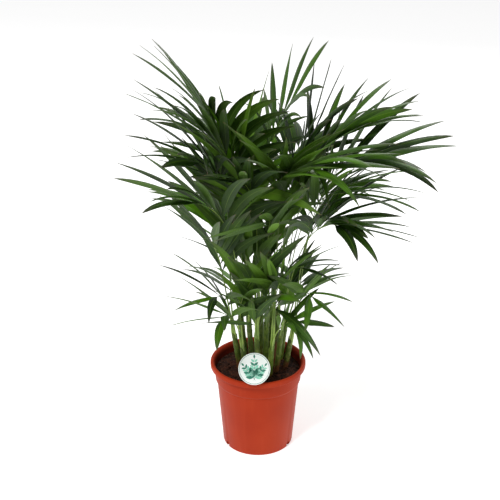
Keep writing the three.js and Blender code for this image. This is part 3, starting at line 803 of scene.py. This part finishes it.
CROWN_HEIGHT = 0.520
CROWN_REACH = 0.290
SOCKET_DEPTH = 0.012
SOCKET_CIRCLE = 0.0023
PETIOLE_RADIUS = 0.0016
RACHIS_TIP_RADIUS = 0.0008
RACHIS_RUN_OUT = 0.3
RACHIS_DIP = 0.2
LEAFLET_LENGTH = 0.186
LEAFLET_WIDTH = 0.021
STALK_STEPS = 8
# Each frond: its cane, where its stalk ends (across, deep, high, as shares of the crown), how far it
# arches, where its leaflets start, its pairs of leaflets, how widely they spread and fall, their size.
FRONDS = [
    (1, -0.27, -0.05, 0.9, 0.3, 0.62, 8, 0.9, 1),
    (3, -0.32, -0.1, 0.86, 0.5, 0.64, 8, 0.9, 0.95),
    (0, -0.33, -0.2, 0.78, 0.6, 0.66, 7, 0.9, 0.95),
    (2, -0.34, -0.25, 0.66, 0.6, 0.64, 7, 0.85, 0.92),
    (0, -0.25, -0.2, 0.5, 0.3, 0.6, 5, 0.6, 0.9),
    (3, -0.14, -0.02, 0.77, 0.1, 0.66, 5, 0.6, 1.15),
    (6, 0.17, 0.05, 0.92, 0.3, 0.74, 5, 1, 0.86),
    (10, 0.31, 0.1, 0.82, 0.3, 0.66, 6, 0.8, 0.9),
    (10, 0.54, 0, 0.85, 0.6, 0.68, 7, 0.85, 0.9),
    (13, 0.62, -0.1, 0.77, 0.75, 0.66, 7, 0.85, 0.95),
    (11, 0.48, -0.2, 0.68, 0.8, 0.68, 6, 0.8, 0.9),
    (13, 0.42, -0.24, 0.6, 0.7, 0.68, 6, 0.8, 0.8),
    (11, 0.46, -0.32, 0.6, 0.9, 0.7, 6, 0.9, 0.75),
    (7, 0.12, -0.34, 0.76, 0.5, 0.62, 7, 0.65, 0.95),
    (9, 0.28, -0.4, 0.8, 0.8, 0.68, 6, 0.8, 0.85),
    (5, -0.08, -0.33, 0.74, 0.5, 0.64, 6, 0.7, 0.9),
    (7, 0.06, -0.33, 0.62, 0.4, 0.6, 6, 0.55, 0.9),
    (3, -0.19, -0.13, 0.66, 0.2, 0.56, 6, 0.6, 0.85),
    (12, 0.36, 0.06, 0.62, 0.6, 0.66, 6, 0.9, 0.85),
    (4, -0.11, 0.44, 0.72, 0.6, 0.66, 6, 1, 0.9),
    (8, 0.25, 0.5, 0.7, 0.7, 0.68, 6, 1, 0.9),
    (4, -0.24, 0.46, 0.62, 0.6, 0.66, 6, 0.9, 0.9),
    (12, 0.42, 0.42, 0.54, 0.7, 0.66, 6, 1, 0.85),
    (1, -0.26, 0.4, 0.48, 0.5, 0.64, 6, 0.8, 0.85),
    (8, 0.04, 0.46, 0.46, 0.6, 0.6, 5, 1, 0.8),
    (9, 0.24, -0.16, 0.42, 0.9, 0.56, 5, 0.9, 0.55),
    (13, 0.3, -0.2, 0.33, 0.95, 0.5, 5, 0.8, 0.58),
    (9, 0.22, -0.18, 0.23, 1, 0.45, 4, 0.8, 0.45),
    (0, -0.24, -0.14, 0.31, 0.6, 0.5, 4, 0.9, 0.6),
    (2, -0.2, -0.23, 0.26, 0.9, 0.45, 4, 0.9, 0.6),
    (2, -0.04, -0.25, 0.4, 0.2, 0.48, 5, 0.5, 0.75),
    (5, 0.1, -0.22, 0.38, 0.2, 0.48, 5, 0.5, 0.7),
    (1, -0.16, 0.32, 0.24, 0.7, 0.5, 4, 1, 0.6),
    (12, 0.26, 0.34, 0.24, 0.8, 0.5, 4, 1, 0.6),
    (6, -0.08, -0.08, 0.45, 0.1, 0.4, 4, 0.4, 0.9),
    (6, 0.03, -0.1, 0.5, 0.1, 0.45, 4, 0.4, 0.95),
    (4, -0.1, 0.08, 0.4, 0.2, 0.4, 4, 0.45, 0.8),
    (7, 0.14, -0.06, 0.28, 0.1, 0.36, 4, 0.6, 0.7),
    (5, -0.02, -0.18, 0.27, 0.1, 0.36, 4, 0.6, 0.65),
]

# Leaflets change along a stalk from the first pair to the last, and each differs a little from the rule.
TRAITS = {
    "spread": (46, 20, 7),
    "lift": (36, 16, 14),
    "fall": (54, 40, 18),
    "twist": (0, 0, 30),
    "length": (0.9, 0.8, 0.1),
    "width": (1, 1, 0.14),
}
MIDDLE_PAIRS_LONGER = 0.2
LAST_PAIR = 0.985
PAIR_STAGGER = 0.012
OUTWARD_FALL = 0.35


def frond_end(frond):
    return Vector((frond[1] * CROWN_REACH, frond[2] * CROWN_REACH, SOIL_TOP + frond[3] * CROWN_HEIGHT))


class Stalk:
    """A frond's stalk: straight in its socket, then one arching curve to the frond's end."""

    def __init__(self, frond, rise, swing):
        foot, along, length = cane_line(CANES[frond[0]])
        sharing = [other for other in FRONDS if other[0] == frond[0]]
        cane_mouth = foot + along * length
        lead = frond_end(sharing[0]) - cane_mouth
        turn = math.atan2(lead.y, lead.x) + math.pi * (0.5 + 2 * sharing.index(frond) / len(sharing))
        out = SOCKET_CIRCLE if len(sharing) > 1 else 0
        sideways = Vector((math.cos(turn), math.sin(turn), 0)) * out
        self.floor = cane_mouth - along * SOCKET_DEPTH + sideways
        mouth = self.floor + along * SOCKET_DEPTH
        end = frond_end(frond)
        chord = end - mouth
        reach = chord.length
        heading = Vector((chord.x, chord.y, 0)).normalized()
        self.side = Vector((heading.y, -heading.x, 0))
        level = Vector((heading.x, heading.y, -RACHIS_DIP))
        finish = chord.normalized().lerp(level, frond[4]).normalized()
        first = mouth + along * reach * rise + self.side * swing
        second = end - finish * reach * RACHIS_RUN_OUT + self.side * swing
        self.knots = (mouth, first, second, end)

    def point(self, u):
        a, b, c, d = self.knots
        v = 1 - u
        return a * v ** 3 + b * 3 * v * v * u + c * 3 * v * u * u + d * u ** 3

    def tangent(self, u):
        a, b, c, d = self.knots
        v = 1 - u
        return ((b - a) * v * v + (c - b) * 2 * v * u + (d - c) * u * u).normalized()

    def axes(self, u):
        """The direction, side and upper face at u."""
        tangent = self.tangent(u)
        normal = self.side.cross(tangent).normalized()
        return tangent, tangent.cross(normal), normal

    def straight_point(self, u):
        """The place at u on the straight runs that the design's solid is made of."""
        runs = STALK_STEPS - 1
        run = min(runs - 1, math.floor(u * runs))
        return self.point(run / runs).lerp(self.point((run + 1) / runs), u * runs - run)


BLADE_ROLL = 0.55
BLADE_RIPPLE = 0.05
FOLD_AT_FOOT = 0.3
FOLD_AT_TIP = 0.14
BLADE_WIDEST = 0.32


class Leaflet:
    """One leaflet's place, as the design plans it, turned by a dodge of (lift, spread, reach)."""

    def __init__(self, stalk, frond, row, pair, hand, dodge):
        *_, start, pairs, fan, size = frond
        lift_more, spread_more, reach = dodge
        u = pair / (pairs - 1)
        column = len(TRAITS) * (2 * pair + (1 if hand > 0 else 0))

        def trait(name):
            first, last, differs = TRAITS[name]
            return first + (last - first) * u + differs * vary(row, column + list(TRAITS).index(name))

        at = start + (LAST_PAIR - start) * u - (PAIR_STAGGER if hand > 0 else 0)
        spread = math.radians(fan * trait("spread") + spread_more)
        lift = math.radians(trait("lift") + lift_more)
        twist = math.radians(trait("twist") * hand)
        longer = trait("length") + MIDDLE_PAIRS_LONGER * math.sin(math.pi * u)
        self.fall = math.radians(trait("fall") * fan)
        self.length = LEAFLET_LENGTH * size * longer * reach
        self.width = LEAFLET_WIDTH * math.sqrt(size) * trait("width")
        tangent, side, normal = stalk.axes(at)
        outward = side * hand * math.cos(lift) + normal * math.sin(lift)
        self.along = tangent * math.cos(spread) + outward * math.sin(spread)
        down = side * hand * OUTWARD_FALL + Vector((0, 0, -1))
        self.falling = (down - self.along * down.dot(self.along)).normalized()
        self.across = Quaternion(self.along, twist) @ self.along.cross(normal).normalized()
        self.design_root = stalk.straight_point(at)
        self.root = stalk.point(at)
        self.seed = row * 31 + column

    def midrib(self, s):
        radius = self.length / self.fall
        ahead = self.along * radius * math.sin(self.fall * s)
        return self.root + ahead + self.falling * radius * (1 - math.cos(self.fall * s))

    def design_tip(self):
        return self.midrib(1) - self.root + self.design_root

    def blade_point(self, s, a):
        """A point on the blade: s along it, a from -1 to 1 across it. It folds, rolls and ripples."""
        run = self.along * math.cos(self.fall * s) + self.falling * math.sin(self.fall * s)
        roll = BLADE_ROLL * vary(self.seed, 3) * s * s
        across = Quaternion(run, roll) @ self.across
        up = across.cross(run).normalized()
        half = self.width / 2 * blade_width(s)
        ripple = BLADE_RIPPLE * math.sin(9 * s + self.seed) * a
        drop = (FOLD_AT_FOOT + (FOLD_AT_TIP - FOLD_AT_FOOT) * s) * abs(a) ** 1.3 + ripple
        return self.midrib(s) + across * half * a * (1 - 0.06 * abs(a)) - up * half * drop


def blade_width(s):
    """A leaflet's width at s as a share of its greatest: quickly wide, then a long taper to the tip."""
    rise = min(1.0, s / BLADE_WIDEST)
    return (0.05 + 0.95 * rise * rise * (3 - 2 * rise)) * max(0.0, 1 - s ** 2.6) ** 0.85 + 0.012


SPREAD_TO_LIFT = 0.7
TURNS = [(1, 0), (-1, 0), (0, 1), (0, -1), (1, 1), (-1, -1), (1, -1), (-1, 1)]
DODGES = [(0, 0, 1)] + [
    (lift * turn, spread * turn * SPREAD_TO_LIFT, reach)
    for reach in (1, 0.85, 0.7, 0.5, 0.3, 0.18)
    for turn in (7, 14, 22, 31, 42, 56, 72)
    for lift, spread in TURNS
]
SWINGS = [0] + [hand * swing / 1000 for swing in (7, 14, 22, 30, 40, 52, 66, 82) for hand in (1, -1)]
BOWS = [(rise, swing) for rise in (0.42, 0.36, 0.48, 0.3, 0.54) for swing in SWINGS]
MATCH = 0.0002


def nearest(corners, ways, mark):
    """The way whose mark lies on one of the design's corners."""
    best = None
    least = math.inf
    for way in ways:
        gap = corners.find(mark(way))[2]
        if gap < least:
            best, least = way, gap
        if gap < MATCH:
            break
    return best


def corners_of(node):
    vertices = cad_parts[node].data.vertices
    tree = KDTree(len(vertices))
    for vertex in vertices:
        tree.insert(vertex.co, vertex.index)
    tree.balance()
    return tree


def stalk_corner(frond, bow):
    """A corner of the design's stalk half way up its steps, on the upper face."""
    step = STALK_STEPS // 2
    stalk = Stalk(frond, *bow)
    u = (step - 1) / (STALK_STEPS - 1)
    radius = (PETIOLE_RADIUS + RACHIS_TIP_RADIUS) / 2
    return stalk.point(u) + stalk.axes(u)[2] * radius


upper = Finish("leaf_upper")
under = Finish("leaf_underside")
stalk_green = Finish("stalk_green")


def leaf_finish(finish, deep, fresh_green, tip_colour, gloss):
    """Fine veins along the blade, a pale midrib, a dried tip and a tone of its own on every leaflet."""
    tone = finish.node("ShaderNodeAttribute", {"attribute_name": "leaf_tone"}, {}, 2)
    uv = finish.node("ShaderNodeUVMap", {"uv_map": "UVMap"}, {})
    across = finish.node("ShaderNodeSeparateXYZ", {}, {0: uv}, 0)
    along = finish.node("ShaderNodeSeparateXYZ", {}, {0: uv}, 1)
    veins = finish.noise(finish.mapped((1, 0.02, 1), uv), 55.0, 2.0, 0.6)
    mottle = finish.noise(finish.place(), 38.0, 3.0)
    midrib = abs(across - 0.5).between(0.035, 0.01)
    green = finish.mix((tone + mottle * 0.35 - 0.17), deep, fresh_green)
    veined = finish.mix(veins.between(0.4, 0.75) * 0.3, green, fresh_green)
    ribbed = finish.mix(midrib * 0.55, veined, tip_colour)
    faded = finish.mix(along.between(0.7, 0.98) * 0.55, ribbed, (0.07, 0.062, 0.045, 1))
    dried = finish.mix(along.between(0.955, 1.0) * 0.8, faded, (0.2, 0.14, 0.07, 1))
    finish.set(base_color=dried, specular_ior_level=0.3, roughness=gloss + veins * 0.14 + mottle * 0.08)
    finish.bumps(veins * 0.7 + midrib * 0.6, 0.3, 0.0006)


leaf_finish(upper, (0.007, 0.024, 0.002, 1), (0.075, 0.2, 0.004, 1), (0.16, 0.3, 0.02, 1), 0.34)
leaf_finish(under, (0.014, 0.04, 0.006, 1), (0.1, 0.22, 0.01, 1), (0.18, 0.3, 0.04, 1), 0.48)
stripe = stalk_green.noise(stalk_green.mapped((1, 1, 0.06)), 900.0, 2.0)
soft = stalk_green.noise(stalk_green.place(), 30.0, 2.0)
stalk_tone = stalk_green.mix(soft.between(0.3, 0.7), (0.09, 0.17, 0.018, 1), (0.28, 0.42, 0.06, 1))
stalk_green.set(
    base_color=stalk_green.mix(stripe.between(0.5, 0.8) * 0.4, stalk_tone, (0.36, 0.5, 0.14, 1)),
    roughness=0.36 + stripe * 0.16,
)
stalk_green.bumps(stripe, 0.2, 0.0004)

# The blade that every leaflet is a copy of: a flat strip, pointed at both ends.
BLADE_ROWS = 11
fresh()
bpy.ops.mesh.primitive_grid_add(x_subdivisions=4, y_subdivisions=BLADE_ROWS, size=2, calc_uvs=True)
blade_blank = bpy.context.object
bpy.ops.object.mode_set(mode="EDIT")
for end in (-1, 1):
    shape = bmesh.from_edit_mesh(blade_blank.data)
    for vertex in shape.verts:
        vertex.select_set(abs(vertex.co.y - end) < 1e-4)
    shape.select_flush_mode()
    bpy.ops.mesh.merge(type="CENTER")
bpy.ops.object.mode_set(mode="OBJECT")
blade_blank.data.attributes.new("leaf_tone", "FLOAT", "POINT")
wear(blade_blank, upper, under, stalk_green)

# The rod that every stalk is a copy of.
STALK_RINGS = 30
fresh()
bpy.ops.mesh.primitive_cylinder_add(vertices=8, radius=1, depth=1, location=(0, 0, 0))
rod_blank = bpy.context.object
bpy.ops.object.mode_set(mode="EDIT")
bpy.ops.mesh.select_all(action="DESELECT")
shape = bmesh.from_edit_mesh(rod_blank.data)
for edge in shape.edges:
    edge.select_set(abs(edge.verts[0].co.z - edge.verts[1].co.z) > 0.5)
bpy.ops.mesh.subdivide(number_cuts=STALK_RINGS)
bpy.ops.object.mode_set(mode="OBJECT")
wear(rod_blank, upper, under, stalk_green)
for face in rod_blank.data.polygons:
    face.material_index = 2
STALK_SOCKET_SHARE = 0.03
STALK_FOOT_RADIUS = 0.0027
STALK_FOOT_TAPER = 0.0011
STALK_FOOT_RUN = 0.12
STALK_TAPER = 0.0009
CHANNEL_FLATNESS = 0.35


def grow_blade(leaflet, tone):
    blade = copy_of(blade_blank)
    tones = blade.data.attributes["leaf_tone"].data
    for vertex in blade.data.vertices:
        tones[vertex.index].value = tone
        vertex.co = leaflet.blade_point(0.5 * (vertex.co.y + 1), vertex.co.x)
    return blade


def grow_stalk(stalk):
    """Thick at its foot, thin at its tip and flattened on top. Its first ring stands in the cane."""
    rod = copy_of(rod_blank)
    for vertex in rod.data.vertices:
        s = vertex.co.z + 0.5
        u = max(0.0, (s - STALK_SOCKET_SHARE) / (1 - STALK_SOCKET_SHARE))
        centre = stalk.point(u) if s > 0.02 else stalk.floor
        _, side, normal = stalk.axes(u)
        radius = STALK_FOOT_RADIUS - STALK_FOOT_TAPER * min(1, u / STALK_FOOT_RUN) - STALK_TAPER * u
        face = vertex.co.y
        channel = CHANNEL_FLATNESS if face > 0.5 else 1.0
        vertex.co = centre + side * vertex.co.x * radius + normal * face * radius * channel
    return rod


def joined(pieces):
    fresh()
    for piece in pieces:
        piece.select_set(True)
    bpy.context.view_layer.objects.active = pieces[0]
    bpy.ops.object.join()
    return pieces[0]


BLADE_THICKNESS = 0.0004
# The fronds of the outline are darker than the inner ones; some leaflets of the inner ones are bright
# with painted light that shines through the blade.
OUTER_FRONDS = 13
BRIGHT_FRONDS = (5, 24)
for row, frond in enumerate(FRONDS):
    node = f"frond_{row + 1:02d}"
    corners = corners_of(node)
    bow = nearest(corners, BOWS, lambda way: stalk_corner(frond, way))
    stalk = Stalk(frond, *bow)
    outer = row < OUTER_FRONDS and row not in BRIGHT_FRONDS
    tone = (0.22 if outer else 0.34) + 0.22 * vary(row, 5)
    blades = []
    for pair in range(frond[6]):
        for hand in (-1, 1):
            make = lambda way: Leaflet(stalk, frond, row, pair, hand, way)
            dodge = nearest(corners, DODGES, lambda way: make(way).design_tip())
            # A bright leaflet's lighter green is painted light shining through the blade, added to its
            # tone.
            lighter_green = row in BRIGHT_FRONDS or (not outer and vary(3 * row, 5 * pair + hand) > 0.6)
            brightness = tone + 0.25 * vary(row, 2 * pair + hand) + 0.55 * lighter_green
            blades.append(grow_blade(make(dodge), brightness))
    leaf = joined(blades)
    leaf.name = f"palm_{node}"
    body = leaf.modifiers.new("body", "SOLIDIFY")
    body.thickness = BLADE_THICKNESS
    body.offset = -1
    body.material_offset = 1
    body.material_offset_rim = 1
    bpy.ops.object.modifier_apply(modifier="body")
    leaf = joined([leaf, grow_stalk(stalk)])
    smooth(leaf, 55)
    stand_for(leaf, node)
bpy.data.objects.remove(blade_blank)
bpy.data.objects.remove(rod_blank)
